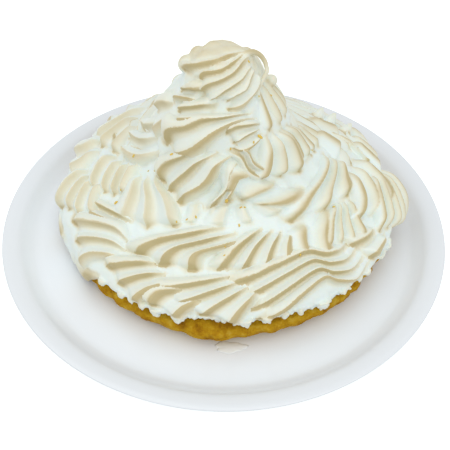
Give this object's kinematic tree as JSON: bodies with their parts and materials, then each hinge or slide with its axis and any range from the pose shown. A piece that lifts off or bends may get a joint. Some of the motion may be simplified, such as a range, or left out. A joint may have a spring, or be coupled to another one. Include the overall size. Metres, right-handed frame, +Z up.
{
  "type": "lemon meringue pie",
  "caption": "Uncut lemon meringue pie with piped, toasted swirls heaped to a tall mound over a crimped crust, on a round plain plate.",
  "frame": {"origin": "centre of the plate, on the surface that it stands on; the pie stands 14 mm behind it and 4 mm to its right", "axes": "+Z up, -Y towards the front side of the pie, +X to its right"},
  "size_m": [0.305, 0.305, 0.142],
  "materials": {
    "plate": "gloss",
    "crust": "matte",
    "meringue": "satin"
  },
  "bodies": {
    "root": {"plate": "plate", "crust": "crust", "meringue": "meringue"}
  },
  "joints": []
}
